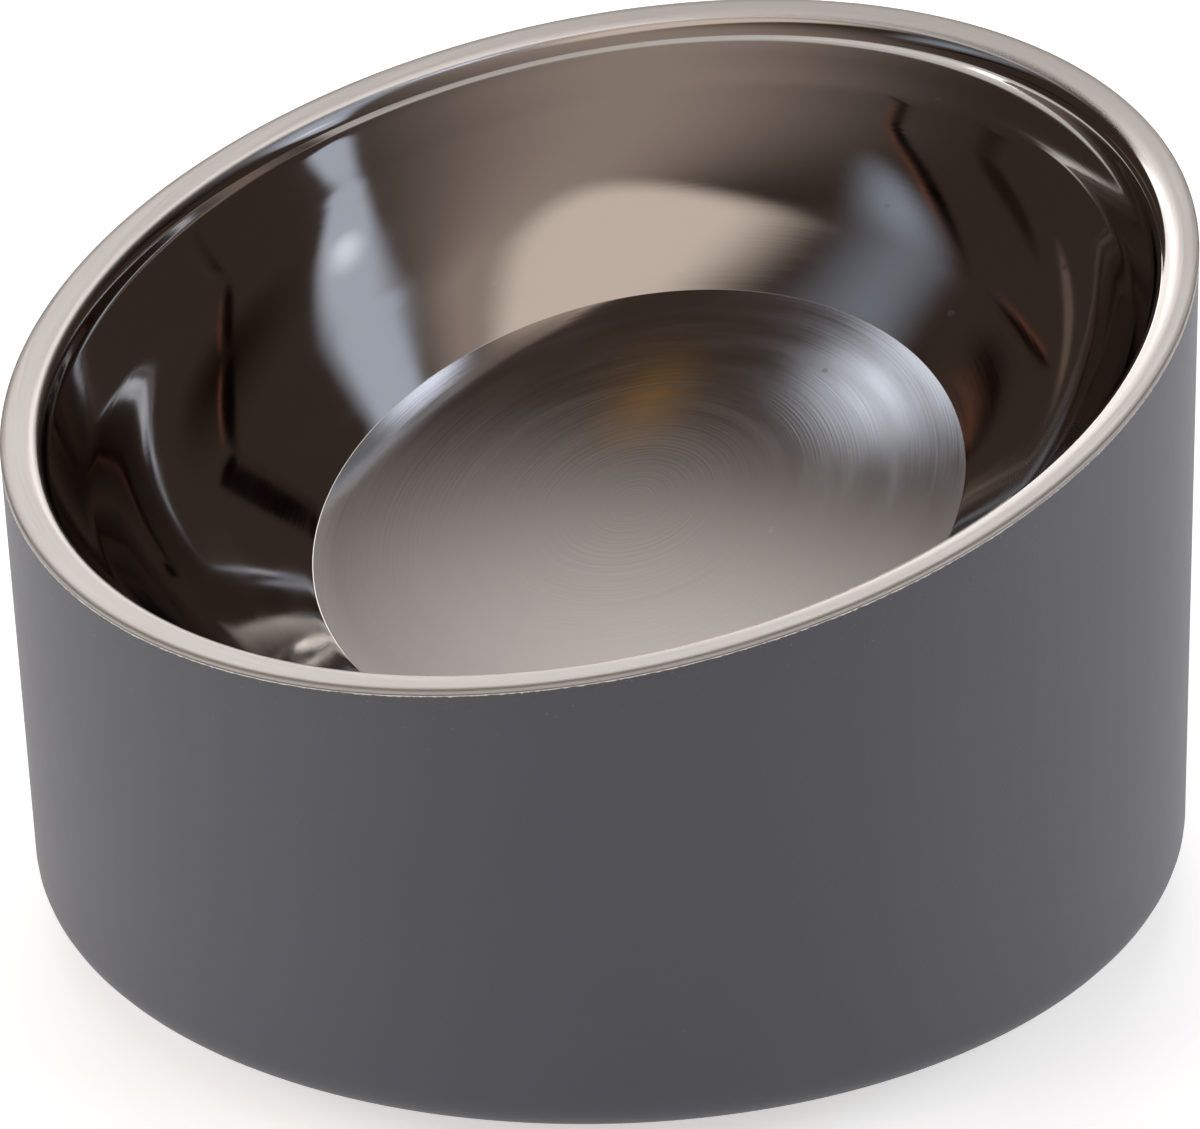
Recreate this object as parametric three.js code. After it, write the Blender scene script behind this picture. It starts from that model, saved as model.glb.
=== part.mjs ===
// A double-wall dog bowl with a slanted rim: a drawn steel bowl welded into the mouth of a powder-coated
// steel shell, standing on a bonded rubber pad. Millimetres, +Z up. The origin is on the ground under the
// middle of the bowl. The low side of the rim faces -Y and the high side faces +Y.
import * as THREE from "three";

// Outer shell
const SHELL_DIAMETER = 180;
const LOW_RIM_HEIGHT = 74;
const HIGH_RIM_HEIGHT = 114;
const SHELL_SHEET = 0.7;
const FOOT_RADIUS = 6.4;
const VENT_DIAMETER = 4;

// Inner bowl
const BOWL_SHEET = 0.7;
const BOWL_DEPTH = 35.7;
const FLOOR_WIDTH = 107;
const FLOOR_LENGTH = 98.5;
const FLOOR_TILT = 8;
const RIM_WIDTH = 5.8;
const RIM_FALL = 1.3;
const RIM_EDGE_RADIUS = 0.8;
const RIM_ROLL_RADIUS = 5;
const WALL_BOW = 6;
const WALL_BEND_RADIUS = 40;
const FLOOR_FILLET = 1;

// Foot
const PAD_DIAMETER = 154;
const PAD_THICKNESS = 4.8;
const PAD_EDGE_RADIUS = 1;
const PAD_GROOVE_WIDTH = 2;
const PAD_GROOVE_DEPTH = 1;
const PAD_GROOVE_SPACING = 9;
const PAD_GROOVES = 3;
const ADHESIVE_FILM = 0.2;

// Vent plug
const PLUG_HEAD_DIAMETER = 8;
const PLUG_HEAD_HEIGHT = 2;

// Clearances and facets
const SEAM = 0.3;
const PLUG_CLEARANCE = 0.3;
const SEGMENTS = 64;
const PLUG_SEGMENTS = 24;
const ARC_STEPS = 4;

// Sizes that follow from these
const shellRadius = SHELL_DIAMETER / 2;
const rimMiddle = (LOW_RIM_HEIGHT + HIGH_RIM_HEIGHT) / 2;
const rimSlope = (HIGH_RIM_HEIGHT - LOW_RIM_HEIGHT) / SHELL_DIAMETER;
const rimAngle = Math.atan(rimSlope);
const landRadius = shellRadius - RIM_WIDTH;
const padRadius = PAD_DIAMETER / 2;
const baseHeight = PAD_THICKNESS + ADHESIVE_FILM;
const ventRadius = VENT_DIAMETER / 2;

const corner = (x, y, radius = 0) => ({ point: new THREE.Vector2(x, y), radius });

// The side that lies to the left of the way from one point to the next.
function leftOf(from, to) {
  const way = to.clone().sub(from).normalize();
  return new THREE.Vector2(-way.y, way.x);
}

// A line of corners with each one rounded to its own radius, as far as its two sides have room.
function rounded(corners) {
  const points = [];
  corners.forEach(({ point, radius }, i) => {
    if (radius === 0) {
      points.push(point);
      return;
    }
    const back = corners[i - 1].point.clone().sub(point);
    const ahead = corners[i + 1].point.clone().sub(point);
    const room = Math.min(back.length(), ahead.length()) / 2;
    const half = Math.acos(THREE.MathUtils.clamp(back.normalize().dot(ahead.normalize()), -1, 1)) / 2;
    const reach = Math.min(radius / Math.tan(half), room);
    const start = point.clone().addScaledVector(back, reach);
    const centre = point.clone().addScaledVector(back.clone().add(ahead).normalize(), reach / Math.cos(half));
    const turn = Math.sign(back.cross(ahead)) * (Math.PI - 2 * half);
    for (let step = 0; step <= ARC_STEPS; step += 1) {
      points.push(start.clone().rotateAround(centre, -turn * (step / ARC_STEPS)));
    }
  });
  return points;
}

// The same line moved to its left by the thickness of the sheet, with its bends kept concentric.
function offset(corners, sheet) {
  return corners.map(({ point, radius }, i) => {
    const before = i > 0 ? leftOf(corners[i - 1].point, point) : null;
    const after = i < corners.length - 1 ? leftOf(point, corners[i + 1].point) : null;
    const first = before ?? after;
    const second = after ?? before;
    const miter = first.clone().add(second);
    const moved = point.clone().addScaledVector(miter, (2 * sheet) / miter.lengthSq());
    const inner = first.cross(second) > 0 ? -sheet : sheet;
    return { point: moved, radius: radius === 0 ? 0 : Math.max(radius + inner, 0) };
  });
}

// A profile of radius and height turned about the Z axis.
function turned(profile, segments = SEGMENTS) {
  return new THREE.LatheGeometry(profile, segments).rotateX(Math.PI / 2);
}

// A closed skin through one profile for each angle round the Z axis, with every profile of as many points.
// place moves a vertex from its radius, angle and height to where it belongs.
function lofted(profileAt, place) {
  const geometry = turned(profileAt(0));
  const positions = geometry.getAttribute("position");
  for (let segment = 0; segment <= SEGMENTS; segment += 1) {
    const angle = (2 * Math.PI * (segment % SEGMENTS)) / SEGMENTS;
    const profile = profileAt(angle);
    profile.forEach(({ x, y }, i) => {
      const vertex = place(x, angle, y);
      positions.setXYZ(segment * profile.length + i, vertex.x, vertex.y, vertex.z);
    });
  }
  geometry.computeVertexNormals();
  return geometry;
}

// The radius at an angle of an ellipse with the given half width across and half length along the slope.
function ellipseRadius(halfWidth, halfLength, angle) {
  return 1 / Math.hypot(Math.cos(angle) / halfWidth, Math.sin(angle) / halfLength);
}

// The angle in the slanted rim plane under which a point lies that has the given angle in plan.
const slopeAngle = (planAngle) => Math.atan2(Math.sin(planAngle) / Math.cos(rimAngle), Math.cos(planAngle));

// The bowl hangs from its flange, which is round in plan, as the shell is, and falls a little inwards. Depths
// count square to the rim plane. The flat floor falls towards the low side more steeply than the rim does,
// so food gathers there.
function innerBowlGeometry() {
  const stretch = 1 / Math.cos(rimAngle);
  const floorFall = Math.tan(THREE.MathUtils.degToRad(FLOOR_TILT));
  const landAt = (angle) => ellipseRadius(landRadius, landRadius * stretch, angle);

  const profileAt = (planAngle) => {
    const angle = slopeAngle(planAngle);
    const edge = ellipseRadius(shellRadius, shellRadius * stretch, angle);
    const floorReach = ellipseRadius(FLOOR_WIDTH / 2, FLOOR_LENGTH / 2, angle);
    const land = new THREE.Vector2(landAt(angle), -RIM_FALL);
    const floorEdge = new THREE.Vector2(floorReach, floorReach * Math.sin(angle) * floorFall - BOWL_DEPTH);
    const bend = land.clone().lerp(floorEdge, 0.5).addScaledVector(leftOf(land, floorEdge), WALL_BOW);
    const top = [
      corner(edge, -BOWL_SHEET),
      corner(edge, 0, RIM_EDGE_RADIUS),
      { point: land, radius: RIM_ROLL_RADIUS },
      { point: bend, radius: WALL_BEND_RADIUS },
      { point: floorEdge, radius: FLOOR_FILLET },
      corner(0, -BOWL_DEPTH),
    ];
    const under = offset(top, BOWL_SHEET);
    under[under.length - 1] = corner(0, -BOWL_DEPTH - BOWL_SHEET);
    return [...rounded(under).reverse(), ...rounded(top)];
  };

  // The edge of the flange stands upright, in line with the shell, and the bowl hangs square to the rim.
  return lofted(profileAt, (reach, planAngle, height) => {
    const angle = slopeAngle(planAngle);
    const along = reach * Math.sin(angle);
    const upright = THREE.MathUtils.clamp((reach - landAt(angle)) / RIM_ROLL_RADIUS + 1, 0, 1);
    const lean = rimAngle * (1 - upright);
    return new THREE.Vector3(
      reach * Math.cos(angle),
      along * Math.cos(rimAngle) - height * Math.sin(lean),
      rimMiddle + along * Math.sin(rimAngle) + height * Math.cos(lean),
    );
  });
}

// The shell is a drawn cup with a vent in the middle of its flat base. Its mouth is trimmed parallel to
// the rim, one seam below the flange of the bowl.
function outerShellGeometry() {
  const profileAt = (angle) => {
    const mouth = rimMiddle + shellRadius * Math.sin(angle) * rimSlope - BOWL_SHEET - SEAM;
    const outside = [
      corner(ventRadius, baseHeight),
      corner(shellRadius, baseHeight, FOOT_RADIUS),
      corner(shellRadius, mouth),
    ];
    const profile = [...rounded(outside), ...rounded(offset(outside, SHELL_SHEET)).reverse()];
    return [...profile, profile[0]];
  };
  return lofted(profileAt, (reach, angle, height) => {
    return new THREE.Vector3(reach * Math.cos(angle), reach * Math.sin(angle), height);
  });
}

// A soft plug: its stem fills the vent flush with the base and its head holds it from inside.
function ventPlugGeometry() {
  const stemRadius = ventRadius - PLUG_CLEARANCE;
  const headFoot = baseHeight + SHELL_SHEET + PLUG_CLEARANCE;
  const headRadius = PLUG_HEAD_DIAMETER / 2;
  const profile = rounded([
    corner(0, baseHeight),
    corner(stemRadius, baseHeight),
    corner(stemRadius, headFoot),
    corner(headRadius, headFoot),
    corner(headRadius, headFoot + PLUG_HEAD_HEIGHT, PLUG_HEAD_HEIGHT / 2),
    corner(0, headFoot + PLUG_HEAD_HEIGHT),
  ]);
  return turned(profile, PLUG_SEGMENTS);
}

// A thin disc of adhesive between the base and the pad, face to face with both.
function padAdhesiveGeometry() {
  const profile = [
    new THREE.Vector2(0, PAD_THICKNESS),
    new THREE.Vector2(padRadius, PAD_THICKNESS),
    new THREE.Vector2(padRadius, baseHeight),
    new THREE.Vector2(0, baseHeight),
  ];
  return turned(profile);
}

// A flat rubber disc with round grooves in its underside, counted inwards from its edge.
function nonSlipPadGeometry() {
  const corners = [corner(0, 0)];
  for (let groove = PAD_GROOVES; groove >= 1; groove -= 1) {
    const outer = padRadius - groove * PAD_GROOVE_SPACING + PAD_GROOVE_WIDTH / 2;
    const inner = outer - PAD_GROOVE_WIDTH;
    corners.push(corner(inner, 0), corner(inner, PAD_GROOVE_DEPTH));
    corners.push(corner(outer, PAD_GROOVE_DEPTH), corner(outer, 0));
  }
  corners.push(corner(padRadius, 0, PAD_EDGE_RADIUS));
  corners.push(corner(padRadius, PAD_THICKNESS), corner(0, PAD_THICKNESS));
  return turned(rounded(corners));
}

function piece(name, geometry, color, roughness, metalness) {
  const mesh = new THREE.Mesh(geometry, new THREE.MeshStandardMaterial({ color, roughness, metalness }));
  mesh.name = name;
  return mesh;
}

const dogBowl = new THREE.Group();
dogBowl.name = "dog_bowl";
dogBowl.add(
  piece("inner_bowl", innerBowlGeometry(), 0xcdc8c4, 0.12, 1),
  piece("outer_shell", outerShellGeometry(), 0x55565c, 0.6, 0),
  piece("vent_plug", ventPlugGeometry(), 0x8c8c88, 0.7, 0),
  piece("pad_adhesive", padAdhesiveGeometry(), 0xd8d2c0, 0.5, 0),
  piece("non_slip_pad", nonSlipPadGeometry(), 0x1c1c1d, 0.85, 0),
);

export default dogBowl;
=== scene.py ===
"""A slanted, double-wall steel dog bowl: the fine surfaces of its polished bowl, powder-coated shell and
rubber foot, their finishes, and a plain studio around them. Lengths are in metres, +Z is up, the low side of
the rim faces -Y and the origin is on the ground under the middle of the bowl."""

import math

import bpy
import numpy as np
from bpy.props import FloatProperty, FloatVectorProperty, IntProperty, PointerProperty
from mathutils import Matrix, Vector


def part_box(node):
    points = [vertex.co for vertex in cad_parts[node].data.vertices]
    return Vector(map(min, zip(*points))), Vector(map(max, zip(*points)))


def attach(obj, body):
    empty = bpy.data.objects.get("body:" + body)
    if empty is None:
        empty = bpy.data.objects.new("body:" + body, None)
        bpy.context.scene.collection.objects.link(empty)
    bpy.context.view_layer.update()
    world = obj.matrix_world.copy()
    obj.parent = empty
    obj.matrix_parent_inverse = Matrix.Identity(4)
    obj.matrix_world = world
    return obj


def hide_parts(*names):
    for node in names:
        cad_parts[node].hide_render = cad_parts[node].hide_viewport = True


bl_info = {
    "name": "Slanted Dog Bowl",
    "version": (1, 0, 0),
    "blender": (4, 5, 0),
    "location": "View3D > Sidebar > Dog Bowl",
    "description": "Dresses the packed frame of a double-wall steel dog bowl",
    "category": "Object",
}

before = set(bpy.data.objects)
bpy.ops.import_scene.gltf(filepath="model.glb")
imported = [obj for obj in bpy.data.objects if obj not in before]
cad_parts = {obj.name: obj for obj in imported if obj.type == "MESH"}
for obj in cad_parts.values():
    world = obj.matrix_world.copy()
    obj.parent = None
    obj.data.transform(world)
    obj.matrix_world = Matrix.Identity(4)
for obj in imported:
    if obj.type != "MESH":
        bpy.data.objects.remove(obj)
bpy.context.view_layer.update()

MM = 0.001
SHELL_LOW, SHELL_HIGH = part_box("outer_shell")
_, PAD_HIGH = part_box("non_slip_pad")
SHARP_ANGLE = math.radians(40)  # Folds sharper than this keep a hard edge


def linear(hex_colour):
    """The linear RGBA of an sRGB hex colour: c / 12.92 near black, ((c + 0.055) / 1.055) ** 2.4 above."""
    channels = np.array([int(hex_colour[i : i + 2], 16) for i in (0, 2, 4)]) / 255
    low, high = channels / 12.92, ((channels + 0.055) / 1.055) ** 2.4
    return (*np.where(channels <= 0.04045, low, high).tolist(), 1.0)


class BowlSizes(bpy.types.PropertyGroup):
    """Sizes of the object: those of its frame, and those of the finer forms that the frame leaves out."""

    shell_radius: FloatProperty(
        name="Shell radius", description="Outside of the upright wall", default=SHELL_HIGH.x, unit="LENGTH"
    )
    low_rim: FloatProperty(
        name="Low rim", description="Height of the rim's low side", default=74 * MM, unit="LENGTH"
    )
    high_rim: FloatProperty(
        name="High rim", description="Height of the rim's high side", default=114 * MM, unit="LENGTH"
    )
    sheet: FloatProperty(
        name="Sheet", description="Thickness of the steel of bowl and shell", default=0.7 * MM, unit="LENGTH"
    )
    base_height: FloatProperty(
        name="Base height",
        description="Underside of the shell above the ground",
        default=SHELL_LOW.z,
        unit="LENGTH",
    )
    foot_radius: FloatProperty(
        name="Foot radius", description="Bend from the base to the wall", default=6.4 * MM, unit="LENGTH"
    )
    vent_radius: FloatProperty(
        name="Vent radius", description="Hole in the middle of the base", default=2 * MM, unit="LENGTH"
    )
    seam: FloatProperty(
        name="Seam",
        description="Gap under the flange that the paint leaves open",
        default=0.04 * MM,
        unit="LENGTH",
    )
    cut_edge: FloatProperty(
        name="Cut edge", description="Rounding of the sheet's cut edges", default=0.2 * MM, unit="LENGTH"
    )
    rim_width: FloatProperty(
        name="Rim width", description="Width of the flange", default=5.8 * MM, unit="LENGTH"
    )
    rim_fall: FloatProperty(
        name="Rim fall", description="Drop of the flange over its width", default=1.3 * MM, unit="LENGTH"
    )
    rim_edge: FloatProperty(
        name="Rim edge", description="Rounding of the flange's outer edge", default=0.8 * MM, unit="LENGTH"
    )
    rim_roll: FloatProperty(
        name="Rim roll", description="Bend from the flange into the bowl", default=5 * MM, unit="LENGTH"
    )
    satin_shift: FloatProperty(
        name="Satin shift",
        description="How far off the middle the flange was ground",
        default=1 * MM,
        unit="LENGTH",
    )
    satin_heading: FloatProperty(
        name="Satin heading",
        description="Plan angle of the side where the satin starts furthest out",
        default=math.radians(60),
        subtype="ANGLE",
    )
    satin_start: FloatProperty(
        name="Satin start",
        description="From the flange's inner line to its satin",
        default=0.3 * MM,
        unit="LENGTH",
    )
    satin_ramp: FloatProperty(
        name="Satin ramp",
        description="Width over which mirror turns to satin",
        default=2.4 * MM,
        unit="LENGTH",
    )
    ground_edge: FloatProperty(
        name="Ground edge", description="Width of the flange's ground edge", default=1 * MM, unit="LENGTH"
    )
    neck_depth: FloatProperty(
        name="Neck depth",
        description="Height of the steep neck under the flange",
        default=3.4 * MM,
        unit="LENGTH",
    )
    neck_lean: FloatProperty(
        name="Neck lean",
        description="Slope of the neck from upright",
        default=math.radians(14),
        subtype="ANGLE",
    )
    neck_bend: FloatProperty(
        name="Neck bend", description="Bend from the neck to the wall", default=5 * MM, unit="LENGTH"
    )
    bowl_depth: FloatProperty(
        name="Bowl depth",
        description="Middle of the floor under the rim plane",
        default=35.7 * MM,
        unit="LENGTH",
    )
    floor_width: FloatProperty(
        name="Floor width", description="Floor across the slope", default=107 * MM, unit="LENGTH"
    )
    floor_length: FloatProperty(
        name="Floor length", description="Floor along the slope", default=98.5 * MM, unit="LENGTH"
    )
    floor_tilt: FloatProperty(
        name="Floor tilt",
        description="Fall of the floor beyond the rim's",
        default=math.radians(8),
        subtype="ANGLE",
    )
    floor_crown: FloatProperty(
        name="Floor crown",
        description="Rise of the floor's middle over flat",
        default=0.6 * MM,
        unit="LENGTH",
    )
    floor_fillet: FloatProperty(
        name="Floor fillet", description="Crease between floor and wall", default=0.35 * MM, unit="LENGTH"
    )
    wall_bow: FloatProperty(
        name="Wall bow", description="How far the wall bulges out of straight", default=6 * MM, unit="LENGTH"
    )
    wall_bend: FloatProperty(
        name="Wall bend", description="Radius of the bulge", default=40 * MM, unit="LENGTH"
    )
    pad_radius: FloatProperty(
        name="Pad radius", description="Outside of the rubber pad", default=PAD_HIGH.x, unit="LENGTH"
    )
    pad_thickness: FloatProperty(
        name="Pad thickness", description="Height of the rubber pad", default=PAD_HIGH.z, unit="LENGTH"
    )
    pad_edge: FloatProperty(
        name="Pad edge", description="Rounding of the pad's lower edge", default=1 * MM, unit="LENGTH"
    )
    groove_width: FloatProperty(
        name="Groove width", description="Width of a groove under the pad", default=2 * MM, unit="LENGTH"
    )
    groove_depth: FloatProperty(
        name="Groove depth", description="Depth of a groove under the pad", default=1 * MM, unit="LENGTH"
    )
    groove_spacing: FloatProperty(
        name="Groove spacing", description="From one groove to the next", default=9 * MM, unit="LENGTH"
    )
    grooves: IntProperty(name="Grooves", description="Number of grooves under the pad", default=3)
    around: IntProperty(name="Steps around", description="Faces round each surface", default=360)


class BowlColours(bpy.types.PropertyGroup):
    """Colours of the finishes."""

    steel: FloatVectorProperty(
        name="Steel", description="Stainless steel", default=linear("cdc8c4"), size=4, subtype="COLOR"
    )
    paint: FloatVectorProperty(
        name="Paint", description="Powder coat", default=linear("4c4c51"), size=4, subtype="COLOR"
    )
    thick_paint: FloatVectorProperty(
        name="Thick paint",
        description="Powder coat where it lies thick",
        default=linear("505157"),
        size=4,
        subtype="COLOR",
    )
    dust: FloatVectorProperty(
        name="Dust",
        description="Specks in the powder coat",
        default=linear("777679"),
        size=4,
        subtype="COLOR",
    )
    dusty_rubber: FloatVectorProperty(
        name="Dusty rubber",
        description="Tops of the pad's grain",
        default=linear("2b2a2a"),
        size=4,
        subtype="COLOR",
    )
    rubber: FloatVectorProperty(
        name="Rubber", description="Pad under the base", default=linear("1c1c1d"), size=4, subtype="COLOR"
    )
    silicone: FloatVectorProperty(
        name="Silicone", description="Plug in the vent", default=linear("8c8c88"), size=4, subtype="COLOR"
    )
    adhesive: FloatVectorProperty(
        name="Adhesive", description="Film under the base", default=linear("d8d2c0"), size=4, subtype="COLOR"
    )
    backdrop: FloatVectorProperty(
        name="Floor",
        description="Floor that the bowl stands on",
        default=linear("f4f3f1"),
        size=4,
        subtype="COLOR",
    )


class StudioSettings(bpy.types.PropertyGroup):
    """Where the camera and the lamps stand, and how the camera looks at the bowl."""

    aim: FloatVectorProperty(
        name="Aim",
        description="Point at the middle of the picture",
        default=(-0.2 * MM, -0.2 * MM, 51.8 * MM),
        subtype="XYZ",
    )
    azimuth: FloatProperty(
        name="Azimuth", description="Turn round the bowl from -Y", default=math.radians(43.0), subtype="ANGLE"
    )
    elevation: FloatProperty(
        name="Elevation", description="Height over the horizon", default=math.radians(26.195), subtype="ANGLE"
    )
    distance: FloatProperty(
        name="Distance", description="From the lens to the aim", default=765.8 * MM, unit="LENGTH"
    )
    roll: FloatProperty(
        name="Roll",
        description="Tilt of the camera to its right",
        default=math.radians(-1.907),
        subtype="ANGLE",
    )
    lens: FloatProperty(
        name="Lens", description="Focal length on a 36 mm sensor", default=149.44, unit="CAMERA"
    )
    lamp_distance: FloatProperty(
        name="Lamp distance", description="From the standing lamps to the aim", default=1.05, unit="LENGTH"
    )


# Profiles and grids


def unit(vectors):
    """Vectors divided by their lengths, along the last axis."""
    return vectors / np.linalg.norm(vectors, axis=-1, keepdims=True)


def leftward(start, end):
    """The unit normal that lies to the left of the way from start to end."""
    way = unit(end - start)
    return np.stack([-way[..., 1], way[..., 0]], axis=-1)


def profile_corners(around, *corners):
    """Corners as an array [angle, corner, (reach, height)]. A value is one number, or one for each angle."""
    columns = [np.stack(np.broadcast_arrays(np.zeros(around), *corner)[1:], axis=-1) for corner in corners]
    return np.stack(columns, axis=1)


def moved_left(corners, sheet):
    """Each line of corners moved to its left by the sheet: a corner goes along the sum of its two normals,
    by twice the sheet over the square of that sum's length, so that both sides stay parallel."""
    normals = leftward(corners[:, :-1], corners[:, 1:])
    before = np.concatenate([normals[:, :1], normals], axis=1)
    after = np.concatenate([normals, normals[:, -1:]], axis=1)
    miter = before + after
    return corners + miter * (2 * sheet / np.sum(miter**2, axis=-1, keepdims=True))


def rounded(corners, radii, arc_steps, run_steps):
    """Lines of corners with round corners and evenly divided straight runs.

    An arc of radius r leaves the sides of a corner with half angle h at r / tan(h) from the corner, or at
    half of the shorter side where that is less, and its centre lies on the bisector at that reach / cos(h).
    Points on the arc are its two ends weighted by the sines of the turns left and done.
    """
    arcs = [corners[:, :1]]
    for i in range(1, corners.shape[1] - 1):
        point = corners[:, i]
        if radii[i] == 0:
            arcs.append(point[:, None])
            continue
        back, ahead = corners[:, i - 1] - point, corners[:, i + 1] - point
        room = np.minimum(np.linalg.norm(back, axis=-1), np.linalg.norm(ahead, axis=-1)) / 2
        back, ahead = unit(back), unit(ahead)
        half = np.arccos(np.clip(np.sum(back * ahead, axis=-1), -1, 1)) / 2
        reach = np.minimum(radii[i] / np.tan(half), room)
        centre = point + unit(back + ahead) * (reach / np.cos(half))[:, None]
        turn = (np.pi - 2 * half)[:, None]
        done = np.linspace(0, 1, arc_steps + 1)[None]
        first = point + back * reach[:, None] - centre
        last = point + ahead * reach[:, None] - centre
        weights = np.sin((1 - done) * turn) / np.sin(turn), np.sin(done * turn) / np.sin(turn)
        arcs.append(
            centre[:, None] + weights[0][..., None] * first[:, None] + weights[1][..., None] * last[:, None]
        )
    arcs.append(corners[:, -1:])
    pieces = [arcs[0]]
    for i in range(1, len(arcs)):
        share = np.linspace(0, 1, run_steps + 1)[1:-1, None]
        start, end = arcs[i - 1][:, -1:], arcs[i][:, :1]
        pieces += [start + (end - start) * share[None], arcs[i]]
    return np.concatenate(pieces, axis=1)


def length_along(profile):
    """How far each point of each profile lies from its first one, measured along the profile."""
    steps = np.linalg.norm(np.diff(profile, axis=1), axis=-1)
    return np.concatenate([np.zeros((len(profile), 1)), np.cumsum(steps, axis=1)], axis=1)


def skin(name, points, poles, values):
    """A piece through points[angle, step]: a quad for each cell, closed round the angles.

    With poles, the first and the last step are one point each, closed by fans. Without them the profile is
    a loop, so its last step joins its first. The profiles run out along the underside and back over the top,
    which makes the faces point outwards. values are attributes, given for each point.
    """
    around, steps = points.shape[:2]
    index = np.arange(around * steps).reshape(around, steps)
    if poles:
        index[:, 0], index[:, -1] = index[0, 0], index[0, -1]
    used, index = np.unique(index, return_inverse=True)
    index = index.reshape(around, steps)
    ahead = np.roll(index, -1, axis=0)
    cells = np.stack([index[:, :-1], ahead[:, :-1], ahead[:, 1:], index[:, 1:]], axis=-1)
    if poles:
        fans = np.concatenate([cells[:, 0][:, [0, 2, 3]], cells[:, -1][:, [0, 1, 2]]])
        faces = fans.tolist() + cells[:, 1:-1].reshape(-1, 4).tolist()
    else:
        closing = np.stack([index[:, -1], ahead[:, -1], ahead[:, 0], index[:, 0]], axis=-1)
        faces = np.concatenate([cells.reshape(-1, 4), closing]).tolist()
    mesh = bpy.data.meshes.new(name)
    mesh.from_pydata(points.reshape(-1, 3)[used].tolist(), [], faces)
    for key, value in values.items():
        kind, field = ("FLOAT", "value") if value.ndim == 2 else ("FLOAT_VECTOR", "vector")
        flat = value.reshape(around * steps, -1)[used].astype(np.float32)
        mesh.attributes.new(key, kind, "POINT").data.foreach_set(field, flat.ravel())
    mesh.shade_smooth()
    mesh.set_sharp_from_angle(angle=SHARP_ANGLE)
    piece = bpy.data.objects.new(name, mesh)
    bpy.context.scene.collection.objects.link(piece)
    return piece


def plan_angles(around):
    """Even angles round the Z axis, from +X."""
    return np.linspace(0, 2 * np.pi, around, endpoint=False)


def polar(reach, angle, height):
    """Points from reach and angle round the Z axis, and height."""
    return np.stack(np.broadcast_arrays(reach * np.cos(angle), reach * np.sin(angle), height), axis=-1)


def oval_reach(half_width, half_length, angle):
    """The reach at an angle of an oval: one over the root of (cos / half width)^2 + (sin / half length)^2."""
    return 1 / np.hypot(np.cos(angle) / half_width, np.sin(angle) / half_length)


def rim_slope(sizes):
    """Rise of the rim over its width."""
    return (sizes.high_rim - sizes.low_rim) / (2 * sizes.shell_radius)


def bowl_surface(sizes):
    """Points and attributes of the bowl, on a grid of angles and steps along its profile.

    The profile runs in the slanted rim plane's own frame: under the floor, up under the wall, round the edge,
    over the flange, down the neck and the bowed wall and in over the floor. Reach is measured from the middle
    of the rim, and height square to the rim plane. The flange is round in plan, so in its own plane it is an
    oval longer by one over the cosine of the slant. A point that lies along the slope goes up by the sine of
    the slant, and its height leans with the plane, except at the edge, which stands upright. The floor rises
    to its middle by the crown, times one less the square of the share of the way to its edge. The satin of
    the flange is 0 where the bowl begins, grows to 1 over a ramp, and goes on to 2 at the ground edge. It was
    ground a little off the middle, so it starts further out by a shift times the cosine of the plan angle
    from its heading.
    """
    slant = math.atan(rim_slope(sizes))
    stretch = 1 / math.cos(slant)
    plan = plan_angles(sizes.around)
    angle = np.arctan2(np.sin(plan) * stretch, np.cos(plan))
    land_radius = sizes.shell_radius - sizes.rim_width
    edge = oval_reach(sizes.shell_radius, sizes.shell_radius * stretch, angle)
    land = oval_reach(land_radius, land_radius * stretch, angle)
    floor = oval_reach(sizes.floor_width / 2, sizes.floor_length / 2, angle)
    floor_height = floor * np.sin(angle) * math.tan(sizes.floor_tilt) - sizes.bowl_depth
    ends = profile_corners(sizes.around, (land, -sizes.rim_fall), (floor, floor_height))
    bend = ends.mean(axis=1) + leftward(ends[:, 0], ends[:, 1]) * sizes.wall_bow
    top = profile_corners(
        sizes.around,
        (edge, -sizes.sheet),
        (edge, 0.0),
        (land, -sizes.rim_fall),
        (land - sizes.neck_depth * math.tan(sizes.neck_lean), -sizes.rim_fall - sizes.neck_depth),
        (bend[:, 0], bend[:, 1]),
        (floor, floor_height),
        (0.0, -sizes.bowl_depth),
    )
    under = moved_left(top, sizes.sheet)
    under[:, -1] = 0.0, -sizes.bowl_depth - sizes.sheet
    top_radii = np.array(
        [0, sizes.rim_edge, sizes.rim_roll, sizes.neck_bend, sizes.wall_bend, sizes.floor_fillet, 0]
    )
    # Under the sheet, the bends of the flange are tighter by its thickness and those of the bowl are wider.
    bend_change = sizes.sheet * np.array([0, -1, -1, 1, 1, 1, 0])
    under_radii = np.maximum(top_radii + bend_change, 0)
    upper = rounded(top, top_radii, arc_steps=10, run_steps=14)
    lower = rounded(under, under_radii, arc_steps=6, run_steps=6)[:, ::-1]
    profile = np.concatenate([lower, upper], axis=1)
    reach = profile[..., 0]
    crown = sizes.floor_crown * np.clip(1 - (reach / floor[:, None]) ** 2, 0, 1)
    height = profile[..., 1] + crown
    along = reach * np.sin(angle)[:, None]
    upright = np.clip((reach - land[:, None]) / sizes.rim_roll + 1, 0, 1)
    lean = slant * (1 - upright)
    points = np.stack(
        [
            reach * np.cos(angle)[:, None],
            along * math.cos(slant) - height * np.sin(lean),
            (sizes.low_rim + sizes.high_rim) / 2 + along * math.sin(slant) + height * np.cos(lean),
        ],
        axis=-1,
    )
    from_middle = length_along(profile[:, ::-1])[:, ::-1]
    polish = polar(reach, angle[:, None], from_middle)
    satin_line = land + sizes.satin_shift * np.cos(plan - sizes.satin_heading) + sizes.satin_start
    satin = np.clip((reach - satin_line[:, None]) / sizes.satin_ramp, 0, 1)
    satin = satin + np.clip((reach - edge[:, None]) / sizes.ground_edge + 1, 0, 1)
    return points, {"polish": polish, "satin": satin}


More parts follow.
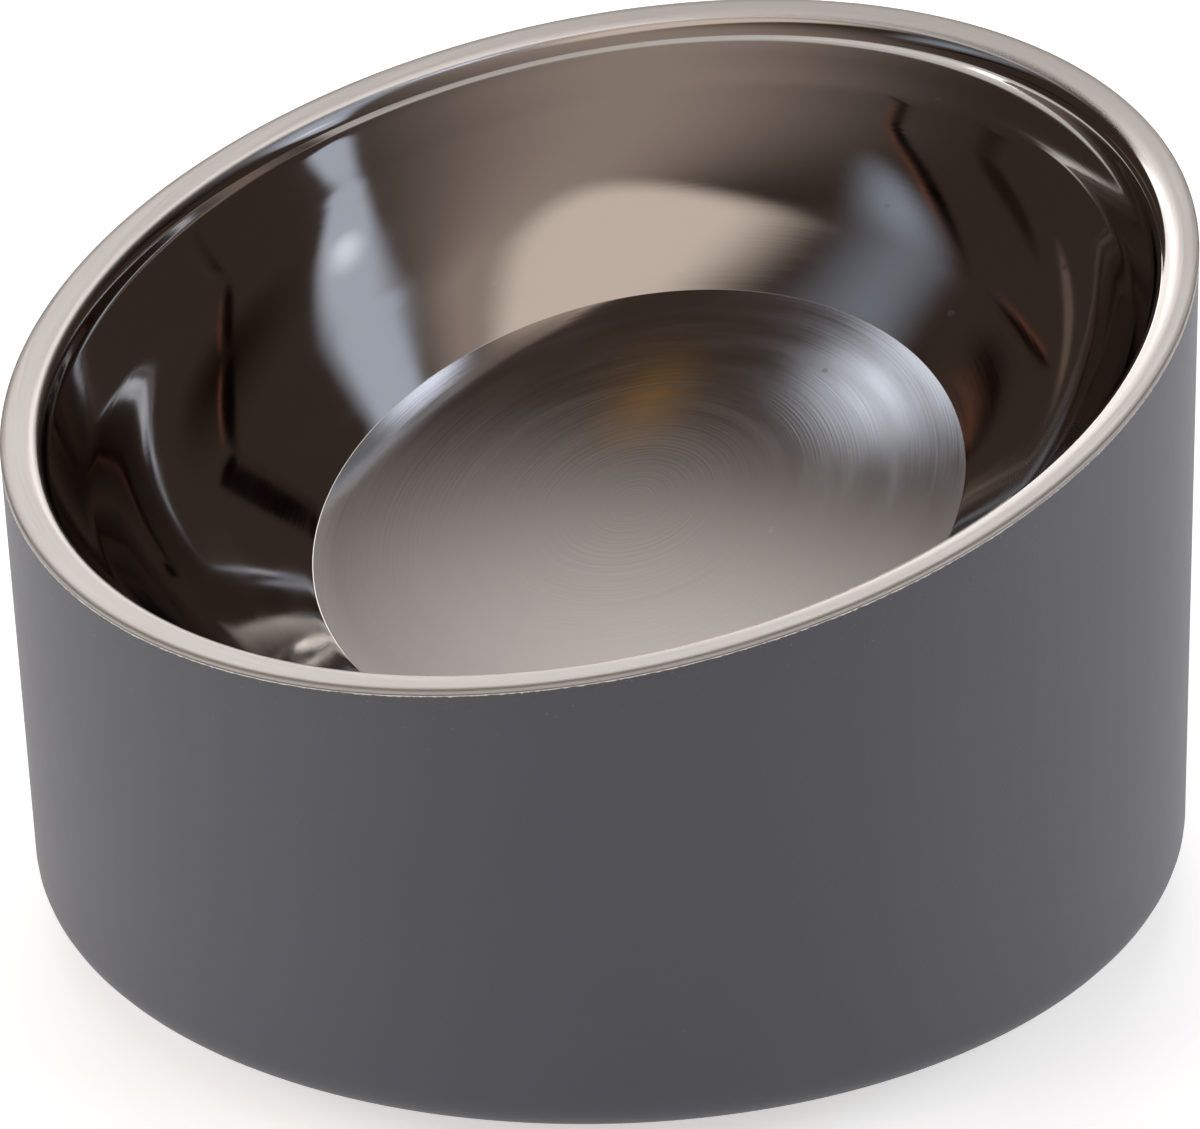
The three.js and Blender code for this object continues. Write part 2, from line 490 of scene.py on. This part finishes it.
def shell_surface(sizes):
    """Points and attributes of the shell: a profile out under the base, round the foot, up to the slanted
    mouth and back down inside, turned about the Z axis. The mouth lies a sheet and a seam under the rim."""
    plan = plan_angles(sizes.around)
    middle = (sizes.low_rim + sizes.high_rim) / 2
    mouth = middle + sizes.shell_radius * np.sin(plan) * rim_slope(sizes) - sizes.sheet - sizes.seam
    inside, floor = sizes.shell_radius - sizes.sheet, sizes.base_height + sizes.sheet
    corners = profile_corners(
        sizes.around,
        (sizes.vent_radius, sizes.base_height),
        (sizes.shell_radius, sizes.base_height),
        (sizes.shell_radius, mouth),
        (inside, mouth),
        (inside, floor),
        (sizes.vent_radius, floor),
    )
    radii = [0, sizes.foot_radius, sizes.cut_edge, sizes.cut_edge, sizes.foot_radius - sizes.sheet, 0]
    profile = rounded(corners, radii, arc_steps=8, run_steps=16)
    points = polar(profile[..., 0], plan[:, None], profile[..., 1])
    below_mouth = np.broadcast_to(mouth[:, None], profile.shape[:2]) - profile[..., 1]
    return points, {"below_mouth": below_mouth}


def pad_surface(sizes):
    """Points of the pad: a profile out along the grooved underside, round the edge and back over the top,
    turned about the Z axis. The grooves are counted inwards from the edge."""
    corners, radii = [(0.0, 0.0)], [0]
    softening = sizes.groove_depth / 4
    for groove in range(sizes.grooves, 0, -1):
        outer = sizes.pad_radius - groove * sizes.groove_spacing + sizes.groove_width / 2
        inner = outer - sizes.groove_width
        corners += [(inner, 0.0), (inner, sizes.groove_depth), (outer, sizes.groove_depth), (outer, 0.0)]
        radii += [softening] * 4
    corners += [(sizes.pad_radius, 0.0), (sizes.pad_radius, sizes.pad_thickness), (0.0, sizes.pad_thickness)]
    radii += [sizes.pad_edge, softening, 0]
    profile = rounded(profile_corners(sizes.around, *corners), radii, arc_steps=4, run_steps=4)
    return polar(profile[..., 0], plan_angles(sizes.around)[:, None], profile[..., 1]), {}


# Finishes


def add(tree, kind, inputs=None, **settings):
    """Adds a node, sets its settings, and gives each named input its value or links it to a socket."""
    node = tree.nodes.new("ShaderNode" + kind)
    for key, value in settings.items():
        setattr(node, key, value)
    for key, value in (inputs or {}).items():
        if isinstance(value, bpy.types.NodeSocket):
            tree.links.new(value, node.inputs[key])
        else:
            node.inputs[key].default_value = value
    return node


def new_tree(name):
    """A new material with an empty node tree."""
    material = bpy.data.materials.new(name)
    material.use_nodes = True
    material.node_tree.nodes.clear()
    return material, material.node_tree


def polished_stainless_steel(colours):
    """Stainless sheet, deep drawn and buffed on a wheel, with a satin flange. The buffing leaves a mirror
    with fine rings in it that smear a lamp's image, faint haze where it was wiped, and a few dried drops."""
    material, tree = new_tree("polished_stainless_steel")
    polish = add(tree, "Attribute", attribute_name="polish").outputs["Vector"]
    satin = add(tree, "Attribute", attribute_name="satin").outputs["Fac"]
    # Buffing rings lie about 0.1 mm apart and run for some 30 mm. They are drawn 0.4 mm apart, to show.
    ring_scale = (1 / (30 * MM), 1 / (30 * MM), 1 / (0.4 * MM))
    stretch = add(tree, "Mapping", {"Vector": polish, "Scale": ring_scale})
    rings = add(tree, "TexNoise", {"Vector": stretch.outputs["Vector"], "Scale": 1.0, "Detail": 2.0})
    # Wiping leaves haze in streaks about 25 mm long and 4 mm wide.
    streak_scale = (1 / (25 * MM), 1 / (25 * MM), 1 / (4 * MM))
    sweep = add(tree, "Mapping", {"Vector": polish, "Scale": streak_scale})
    haze = add(tree, "TexNoise", {"Vector": sweep.outputs["Vector"], "Scale": 1.0, "Detail": 4.0})
    mirror = add(
        tree,
        "MapRange",
        {"Value": haze.outputs["Fac"], "From Min": 0.35, "From Max": 0.75, "To Min": 0.06, "To Max": 0.1},
    )
    brushed = add(
        tree,
        "MapRange",
        {"Value": rings.outputs["Fac"], "From Min": 0.3, "From Max": 0.7, "To Min": 0.44, "To Max": 0.52},
    )
    # Dried drops are spots of dull film up to 1.7 mm wide, in a few cells of a 14 mm net.
    drops = add(tree, "TexVoronoi", {"Vector": polish, "Scale": 1 / (14 * MM), "Randomness": 1.0})
    spot = add(
        tree,
        "MapRange",
        {
            "Value": drops.outputs["Distance"],
            "From Min": 0.05,
            "From Max": 0.07,
            "To Min": 0.08,
            "To Max": 0.0,
        },
    )
    dulled = add(tree, "Math", {0: mirror.outputs["Result"], 1: spot.outputs["Result"]}, operation="ADD")
    rough = add(
        tree,
        "Mix",
        {"Factor": satin, "A": dulled.outputs[0], "B": brushed.outputs["Result"]},
        data_type="FLOAT",
    )
    # The cut edge was ground and only broken, so it scatters more than the flange.
    ground = add(
        tree,
        "MapRange",
        {"Value": satin, "From Min": 1.0, "From Max": 2.0, "To Min": 0.0, "To Max": 0.35},
    )
    scatter = add(tree, "Math", {0: rough.outputs["Result"], 1: ground.outputs["Result"]}, operation="ADD")
    relief = add(tree, "Bump", {"Height": rings.outputs["Fac"], "Strength": 1.0, "Distance": 0.002 * MM})
    shader = add(
        tree,
        "BsdfPrincipled",
        {
            "Base Color": colours.steel,
            "Metallic": 1.0,
            "Roughness": scatter.outputs[0],
            "Normal": relief.outputs["Normal"],
        },
    )
    add(tree, "OutputMaterial", {"Surface": shader.outputs["BSDF"]})
    return material


def charcoal_powder_coat(colours):
    """Polyester powder, sprayed on and baked. It melts to a dull charcoal skin with a fine pebble and a slow
    waviness, and where the seam was ground after welding, a thin ragged edge of bare steel is left."""
    material, tree = new_tree("charcoal_powder_coat")
    place = add(tree, "TexCoord").outputs["Object"]
    below_mouth = add(tree, "Attribute", attribute_name="below_mouth").outputs["Fac"]
    # Grains of powder are 0.05 mm wide and melt to pebbles of about 0.5 mm. Orange peel is about 5 mm wide.
    pebbles = add(tree, "TexNoise", {"Vector": place, "Scale": 1 / (0.5 * MM), "Detail": 2.0})
    peel = add(tree, "TexNoise", {"Vector": place, "Scale": 1 / (5 * MM), "Detail": 1.0})
    pebbled = add(tree, "Bump", {"Height": pebbles.outputs["Fac"], "Strength": 1.0, "Distance": 0.02 * MM})
    relief = add(
        tree,
        "Bump",
        {
            "Height": peel.outputs["Fac"],
            "Strength": 1.0,
            "Distance": 0.05 * MM,
            "Normal": pebbled.outputs["Normal"],
        },
    )
    # The coat's tint drifts a little over a few centimetres, as its thickness does.
    drift = add(tree, "TexNoise", {"Vector": place, "Scale": 1 / (35 * MM), "Detail": 3.0})
    tint = add(
        tree,
        "Mix",
        {"Factor": drift.outputs["Fac"], "A": colours.paint, "B": colours.thick_paint},
        data_type="RGBA",
    )
    # Grinding nicks are about 0.6 mm wide and eat up to 0.3 mm into the edge of the coat.
    nicks = add(tree, "TexNoise", {"Vector": place, "Scale": 1 / (0.6 * MM), "Detail": 3.0})
    ragged = add(
        tree, "Math", {0: nicks.outputs["Fac"], 1: -0.5 * MM, 2: below_mouth}, operation="MULTIPLY_ADD"
    )
    bare = add(
        tree,
        "MapRange",
        {
            "Value": ragged.outputs[0],
            "From Min": -0.05 * MM,
            "From Max": 0.1 * MM,
            "To Min": 1.0,
            "To Max": 0.0,
        },
    )
    # Specks of grinding dust, 0.25 mm wide, lie in the coat and thin out within 12 mm of the seam.
    dust = add(tree, "TexNoise", {"Vector": place, "Scale": 1 / (0.25 * MM), "Detail": 0.0})
    sparse = add(
        tree,
        "MapRange",
        {"Value": below_mouth, "From Min": 0.0, "From Max": 12 * MM, "To Min": 0.82, "To Max": 0.9},
    )
    speck = add(tree, "Math", {0: dust.outputs["Fac"], 1: sparse.outputs["Result"]}, operation="GREATER_THAN")
    dusted = add(
        tree,
        "Mix",
        {"Factor": speck.outputs[0], "A": tint.outputs["Result"], "B": colours.dust},
        data_type="RGBA",
    )
    colour = add(
        tree,
        "Mix",
        {"Factor": bare.outputs["Result"], "A": dusted.outputs["Result"], "B": colours.steel},
        data_type="RGBA",
    )
    rough = add(tree, "Mix", {"Factor": bare.outputs["Result"], "A": 0.5, "B": 0.38}, data_type="FLOAT")
    shader = add(
        tree,
        "BsdfPrincipled",
        {
            "Base Color": colour.outputs["Result"],
            "Metallic": bare.outputs["Result"],
            "Roughness": rough.outputs["Result"],
            "Normal": relief.outputs["Normal"],
        },
    )
    add(tree, "OutputMaterial", {"Surface": shader.outputs["BSDF"]})
    return material


def grained(name, colour, worn, roughness, grain, depth):
    """A moulded or coated material with a fine grain: its hollows hold one colour and its tops the other."""
    material, tree = new_tree(name)
    place = add(tree, "TexCoord").outputs["Object"]
    grains = add(tree, "TexNoise", {"Vector": place, "Scale": 1 / grain, "Detail": 4.0})
    relief = add(tree, "Bump", {"Height": grains.outputs["Fac"], "Strength": 1.0, "Distance": depth})
    tint = add(tree, "Mix", {"Factor": grains.outputs["Fac"], "A": colour, "B": worn}, data_type="RGBA")
    shader = add(
        tree,
        "BsdfPrincipled",
        {"Base Color": tint.outputs["Result"], "Roughness": roughness, "Normal": relief.outputs["Normal"]},
    )
    add(tree, "OutputMaterial", {"Surface": shader.outputs["BSDF"]})
    return material


def moulded_rubber(colours):
    """Black rubber from a blasted mould: dull, with a grain of about 0.6 mm and dust on its tops."""
    return grained("moulded_rubber", colours.rubber, colours.dusty_rubber, 0.75, 0.6 * MM, 0.05 * MM)


def cast_silicone(colours):
    """Grey silicone from a smooth mould: a soft sheen, with flow marks about 3 mm wide."""
    return grained("cast_silicone", colours.silicone, colours.adhesive, 0.45, 3 * MM, 0.03 * MM)


def acrylic_adhesive(colours):
    """Acrylic film rolled on from a liner: cloudy, with a wet-looking skin and bubbles about 1 mm wide."""
    return grained("acrylic_adhesive", colours.adhesive, colours.silicone, 0.3, 1 * MM, 0.02 * MM)


# Pieces


def dress(piece, material, node):
    """Gives a new piece its finish and lets it stand for its node on the one body."""
    piece.data.materials.append(material)
    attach(piece, "root")
    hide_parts(node)


class DOGBOWL_OT_inner_bowl(bpy.types.Operator):
    """Make the polished steel bowl"""

    bl_idname = "dogbowl.inner_bowl"
    bl_label = "Polished Bowl"

    def execute(self, context):
        points, values = bowl_surface(context.scene.bowl_sizes)
        piece = skin("polished_bowl", points, True, values)
        dress(piece, polished_stainless_steel(context.scene.bowl_colours), "inner_bowl")
        return {"FINISHED"}


class DOGBOWL_OT_outer_shell(bpy.types.Operator):
    """Make the powder-coated shell"""

    bl_idname = "dogbowl.outer_shell"
    bl_label = "Painted Shell"

    def execute(self, context):
        points, values = shell_surface(context.scene.bowl_sizes)
        piece = skin("painted_shell", points, False, values)
        dress(piece, charcoal_powder_coat(context.scene.bowl_colours), "outer_shell")
        return {"FINISHED"}


class DOGBOWL_OT_rubber_pad(bpy.types.Operator):
    """Make the grooved rubber pad"""

    bl_idname = "dogbowl.rubber_pad"
    bl_label = "Rubber Pad"

    def execute(self, context):
        points, values = pad_surface(context.scene.bowl_sizes)
        piece = skin("rubber_pad", points, True, values)
        dress(piece, moulded_rubber(context.scene.bowl_colours), "non_slip_pad")
        return {"FINISHED"}


class DOGBOWL_OT_hidden_fittings(bpy.types.Operator):
    """Finish the vent plug and the film of adhesive, which keep the shape that the frame gives them"""

    bl_idname = "dogbowl.hidden_fittings"
    bl_label = "Plug and Adhesive"

    def execute(self, context):
        colours = context.scene.bowl_colours
        finishes = {"vent_plug": cast_silicone(colours), "pad_adhesive": acrylic_adhesive(colours)}
        for node, material in finishes.items():
            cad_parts[node].material_slots[0].material = material
        return {"FINISHED"}


# Studio

PAPER_RADIUS = 5.0
PAPER_LIFT = 0.6
ROOM_SHADE, ROOM_GLOW, ROOM_SHEET = "3d322c", "a2958d", "d9d6d3"
GLOW_TURN = -18  # From the camera's heading to the brightest one, in degrees to the right
GLOW_POWER = 3.2
LOWEST_RISE = 0.1  # Lower directions meet the ceiling as if they rose this much
BAND_TOP, BAND_FULL = 0.085, 0.03  # Rise where the band over the horizon begins, and where it is solid
BEAM, RED_EDGE = "2a1a18", "6e4638"

# Panels on the ceiling, from the one behind all others to the one in front: middle, spin in degrees, half
# length and half width, soft share of them, brightness and colour
ROOM_PANELS = (
    # The shade in the left wall
    ((0.75, 0.95), -60, (0.95, 0.6), 1.0, 1.0, "1d140f"),
    # Dark beams, which wind down the left and the right wall
    ((1.34, 1.08), 22, (0.60, 0.08), 0.4, 0.1, BEAM),
    ((0.50, 0.85), 3, (0.38, 0.085), 0.4, 0.1, BEAM),
    ((0.10, 0.96), 123, (0.16, 0.04), 0.4, 0.1, BEAM),
    ((-1.04, -1.0), 90, (1.02, 0.06), 0.4, 0.1, BEAM),
    ((-1.70, 0.147), 162, (0.62, 0.028), 0.4, 0.1, BEAM),
    # The red edges of the beams, and stripes beside the one on the right wall
    ((1.30, 1.175), 22, (0.55, 0.02), 0.5, 1.0, RED_EDGE),
    ((0.50, 0.945), 3, (0.36, 0.018), 0.5, 1.0, RED_EDGE),
    ((-0.965, -1.0), 90, (1.0, 0.02), 0.5, 1.0, RED_EDGE),
    ((-1.70, 0.108), 162, (0.62, 0.013), 0.5, 1.0, RED_EDGE),
    ((-2.0, -0.95), 90, (0.75, 0.3), 0.6, 1.0, "261c18"),
    ((-3.0, 0.15), 90, (0.8, 0.4), 0.6, 1.0, "6a5c53"),
    # The pale dome on the wall behind the floor
    ((-0.235, -0.235), -34, (0.58, 0.235), 0.5, 0.83, "fff0e3"),
    # The near half of the floor
    ((-0.69, 0.19), -5, (0.39, 0.17), 1.0, 0.86, "fffaf8"),
    # Daylight on the left wall, from its foot up
    ((-0.08, 0.0), -25, (0.12, 0.085), 0.75, 3.2, "d8e7ff"),
    ((0.28, 0.07), 13, (0.15, 0.14), 0.5, 0.7, "d8e7ff"),
    ((1.31, 0.03), -3, (1.9, 0.22), 0.5, 0.72, "e0ecff"),
    ((0.98, 0.05), 0, (0.32, 0.13), 0.9, 1.25, "e6f0ff"),
    # Daylight on the right wall and on the floor under it
    ((-0.80, -0.40), 95, (0.71, 0.21), 1.0, 0.42, "dcebff"),
    ((-0.87, -0.03), 6, (0.09, 0.046), 0.85, 0.52, "e2eeff"),
    ((-0.735, 0.37), -25, (0.06, 0.042), 1.0, 1.6, "e2eeff"),
    # A lamp's gold in the middle of the floor
    ((-0.835, 0.34), 85, (0.04, 0.022), 1.0, 0.3, "ffc56a"),
    # What the flange mirrors
    ((-0.48, 0.86), 115, (0.75, 0.36), 0.5, 1.9, "fffdfb"),
    ((-0.42, 0.32), 115, (0.32, 0.20), 0.5, 1.9, "fffaf8"),
    ((-1.20, 0.62), 60, (0.30, 0.20), 0.5, 2.6, "fffdfb"),
)


def from_camera(settings, turn, level):
    """The direction at a turn to the camera's right, seen from the bowl, and at a level, both in degrees."""
    heading, level = settings.azimuth + math.radians(turn), math.radians(level)
    reach = math.cos(level)
    return Vector((math.sin(heading) * reach, -math.cos(heading) * reach, math.sin(level)))


def soft_lamp(name, place, target, size, brightness, colour, mirrored):
    """A flat lamp that faces a target. A brightness of 1 mirrors as white. One that isn't mirrored only
    lights what is dull, as a lamp behind a grid does."""
    lamp = bpy.data.lights.new(name, "AREA")
    lamp.shape = "RECTANGLE"
    lamp.size, lamp.size_y = size
    lamp.energy = brightness * math.pi * lamp.size * lamp.size_y
    lamp.color = linear(colour)[:3]
    holder = bpy.data.objects.new(name, lamp)
    holder.location = place
    holder.rotation_euler = (target - place).to_track_quat("-Z", "Y").to_euler()
    holder.visible_camera = False
    holder.visible_glossy = mirrored
    bpy.context.scene.collection.objects.link(holder)


def standing_lamps(settings):
    """A broad and a low strip behind the bowl, which its flange mirrors, and a fill on either side for the
    painted shell."""
    aim = Vector(settings.aim)
    for name, turn, level, size, brightness, colour, mirrored in (
        ("back_strip", 180, 23, (0.8, 0.7), 1.45, "fffdfb", True),
        ("low_strip", 180, 8, (0.9, 0.12), 2.5, "ffffff", True),
        ("left_fill", -80, 18, (0.9, 0.7), 3.8, "ffffff", False),
        ("right_fill", 80, 18, (0.9, 0.7), 3.6, "f2f5ff", False),
    ):
        place = aim + from_camera(settings, turn, level) * settings.lamp_distance
        soft_lamp(name, place, aim, size, brightness, colour, mirrored)


def soft_panel(tree, ceiling, behind, middle, spin, halves, edge, brightness, colour):
    """An oval panel on the ceiling, in front of what is behind it: solid in its middle, and fading over the
    outer share of its half length and half width that edge gives. Returns the socket with both colours."""
    placed = add(
        tree,
        "Mapping",
        {
            "Vector": ceiling,
            "Location": (*middle, 0),
            "Rotation": (0, 0, math.radians(spin)),
            "Scale": (*halves, 1),
        },
        vector_type="TEXTURE",
    )
    out = add(tree, "VectorMath", {0: placed.outputs["Vector"]}, operation="LENGTH")
    cover = add(
        tree,
        "MapRange",
        {"Value": out.outputs["Value"], "From Min": 1.0, "From Max": 1 - edge},
        interpolation_type="SMOOTHSTEP",
    )
    light = (*(brightness * channel for channel in linear(colour)[:3]), 1.0)
    mixed = add(
        tree, "Mix", {"Factor": cover.outputs["Result"], "A": behind, "B": light}, data_type="RGBA"
    )
    return mixed.outputs["Result"]


def studio_room(settings):
    """The room that the steel mirrors: a brown that is brightest a little to the left of the camera's heading
    and falls off with a power of the cosine of the turn from there, soft panels on a ceiling, and a pale band
    over the horizon. A direction meets the ceiling, one unit up, at its x and y over its z."""
    world = bpy.data.worlds.new("studio_room")
    world.use_nodes = True
    tree = world.node_tree
    tree.nodes.clear()
    way = add(tree, "TexCoord").outputs["Generated"]
    level = add(tree, "VectorMath", {0: way, 1: (1, 1, 0)}, operation="MULTIPLY")
    heading = add(tree, "VectorMath", {0: level.outputs["Vector"]}, operation="NORMALIZE")
    wall = from_camera(settings, GLOW_TURN, 0)
    facing = add(tree, "VectorMath", {0: heading.outputs["Vector"], 1: wall}, operation="DOT_PRODUCT")
    near = add(tree, "Math", {0: facing.outputs["Value"], 1: 0.0}, operation="MAXIMUM")
    glow = add(tree, "Math", {0: near.outputs[0], 1: GLOW_POWER}, operation="POWER")
    brown = add(
        tree,
        "Mix",
        {"Factor": glow.outputs[0], "A": linear(ROOM_SHADE), "B": linear(ROOM_GLOW)},
        data_type="RGBA",
    )
    rise = add(tree, "SeparateXYZ", {"Vector": way})
    high = add(tree, "Math", {0: rise.outputs["Z"], 1: LOWEST_RISE}, operation="MAXIMUM")
    ceiling = add(tree, "VectorMath", {0: level.outputs["Vector"], 1: high.outputs[0]}, operation="DIVIDE")
    light = brown.outputs["Result"]
    for panel in ROOM_PANELS:
        light = soft_panel(tree, ceiling.outputs["Vector"], light, *panel)
    # The pale sheet under the bowl goes on as a band that stands a few degrees over the horizon.
    band = add(
        tree,
        "MapRange",
        {"Value": rise.outputs["Z"], "From Min": BAND_TOP, "From Max": BAND_FULL},
        interpolation_type="SMOOTHSTEP",
    )
    sheet = add(
        tree, "Mix", {"Factor": band.outputs["Result"], "A": light, "B": linear(ROOM_SHEET)}, data_type="RGBA"
    )
    background = add(tree, "Background", {"Color": sheet.outputs["Result"]})
    add(tree, "OutputWorld", {"Surface": background.outputs["Background"]})
    return world


def studio_floor(colours):
    """A round sheet of pale paper. What looks at it, straight or in a mirror, sees it lifted towards white by
    a share of its own colour, and the shadow under the bowl stays."""
    bpy.ops.mesh.primitive_circle_add(vertices=64, radius=PAPER_RADIUS, fill_type="NGON")
    floor = bpy.context.object
    floor.name = "studio_floor"
    material, tree = new_tree("studio_paper")
    path = add(tree, "LightPath")
    seen = path.outputs["Is Camera Ray"]
    for way in ("Is Glossy Ray", "Is Transmission Ray"):
        seen = add(tree, "Math", {0: seen, 1: path.outputs[way]}, operation="MAXIMUM").outputs[0]
    lift = add(tree, "Math", {0: seen, 1: PAPER_LIFT}, operation="MULTIPLY")
    paper = add(
        tree,
        "BsdfPrincipled",
        {
            "Base Color": colours.backdrop,
            "Roughness": 0.9,
            "Emission Color": colours.backdrop,
            "Emission Strength": lift.outputs[0],
        },
    )
    add(tree, "OutputMaterial", {"Surface": paper.outputs["BSDF"]})
    floor.data.materials.append(material)


def studio_camera(settings):
    """A camera that looks at the aim from its azimuth, elevation and distance, rolled about its own axis."""
    camera = bpy.data.cameras.new("camera")
    camera.lens = settings.lens
    holder = bpy.data.objects.new("camera", camera)
    back = from_camera(settings, 0, math.degrees(settings.elevation))
    facing = (-back).to_track_quat("-Z", "Y").to_matrix() @ Matrix.Rotation(settings.roll, 3, "Z")
    holder.rotation_mode = "QUATERNION"
    holder.rotation_quaternion = facing.to_quaternion()
    holder.location = Vector(settings.aim) + back * settings.distance
    bpy.context.scene.collection.objects.link(holder)
    return holder


class DOGBOWL_OT_studio(bpy.types.Operator):
    """Make the floor, the lamps, the room and the camera"""

    bl_idname = "dogbowl.studio"
    bl_label = "Studio"

    def execute(self, context):
        scene = context.scene
        studio_floor(scene.bowl_colours)
        standing_lamps(scene.studio_settings)
        scene.world = studio_room(scene.studio_settings)
        scene.camera = studio_camera(scene.studio_settings)
        scene.view_settings.view_transform = "Standard"
        return {"FINISHED"}


class DOGBOWL_PT_sidebar(bpy.types.Panel):
    """Lists the steps that dress the bowl"""

    bl_idname = "DOGBOWL_PT_sidebar"
    bl_label = "Dog Bowl"
    bl_space_type = "VIEW_3D"
    bl_region_type = "UI"
    bl_category = "Dog Bowl"

    def draw(self, context):
        for step in STEPS:
            self.layout.operator(step.bl_idname)


STEPS = (
    DOGBOWL_OT_inner_bowl,
    DOGBOWL_OT_outer_shell,
    DOGBOWL_OT_rubber_pad,
    DOGBOWL_OT_hidden_fittings,
    DOGBOWL_OT_studio,
)
SETTINGS = {"bowl_sizes": BowlSizes, "bowl_colours": BowlColours, "studio_settings": StudioSettings}


def register():
    """Registers the classes and hangs the settings on the scene."""
    for group in (*SETTINGS.values(), *STEPS, DOGBOWL_PT_sidebar):
        bpy.utils.register_class(group)
    for name, group in SETTINGS.items():
        setattr(bpy.types.Scene, name, PointerProperty(type=group))


def unregister():
    """Takes away what register added."""
    for name in SETTINGS:
        delattr(bpy.types.Scene, name)
    for group in (DOGBOWL_PT_sidebar, *reversed(STEPS), *SETTINGS.values()):
        bpy.utils.unregister_class(group)


def main():
    """Dresses the frame step by step."""
    register()
    bpy.ops.dogbowl.inner_bowl()
    bpy.ops.dogbowl.outer_shell()
    bpy.ops.dogbowl.rubber_pad()
    bpy.ops.dogbowl.hidden_fittings()
    bpy.ops.dogbowl.studio()


if __name__ == "__main__":
    main()
